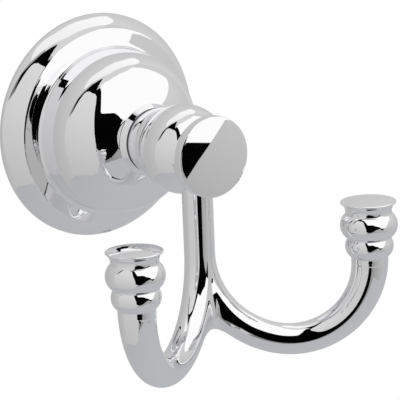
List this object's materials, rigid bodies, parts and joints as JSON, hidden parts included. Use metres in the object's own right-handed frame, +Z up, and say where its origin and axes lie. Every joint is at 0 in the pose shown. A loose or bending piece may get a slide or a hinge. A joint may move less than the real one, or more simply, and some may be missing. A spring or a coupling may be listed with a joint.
{
  "type": "robe hook",
  "caption": "Chrome wall-mounted double robe hook: a round bell-shaped rose, a turned hub and a stem that divides into two upswept arms with turned finials.",
  "frame": {"origin": "centre of the rose's back, on the wall, midway between the two wall screw holes", "axes": "+Z up, +Y into the wall, and the hook reaches out along -Y; the part is its own mirror image across x = 0"},
  "size_m": [0.0872, 0.0788, 0.0846],
  "materials": {
    "chrome_rose": "mirror-polished chrome plate",
    "chrome_hook": "mirror-polished chrome plate",
    "screw_steel": "plain stainless steel",
    "bracket_steel": "zinc-plated steel"
  },
  "bodies": {
    "root": {"rose": "chrome_rose", "hook": "chrome_hook", "hook_screw": "screw_steel", "lock_washer": "screw_steel", "wall_bracket": "bracket_steel", "grub_screw": "screw_steel"}
  },
  "joints": []
}
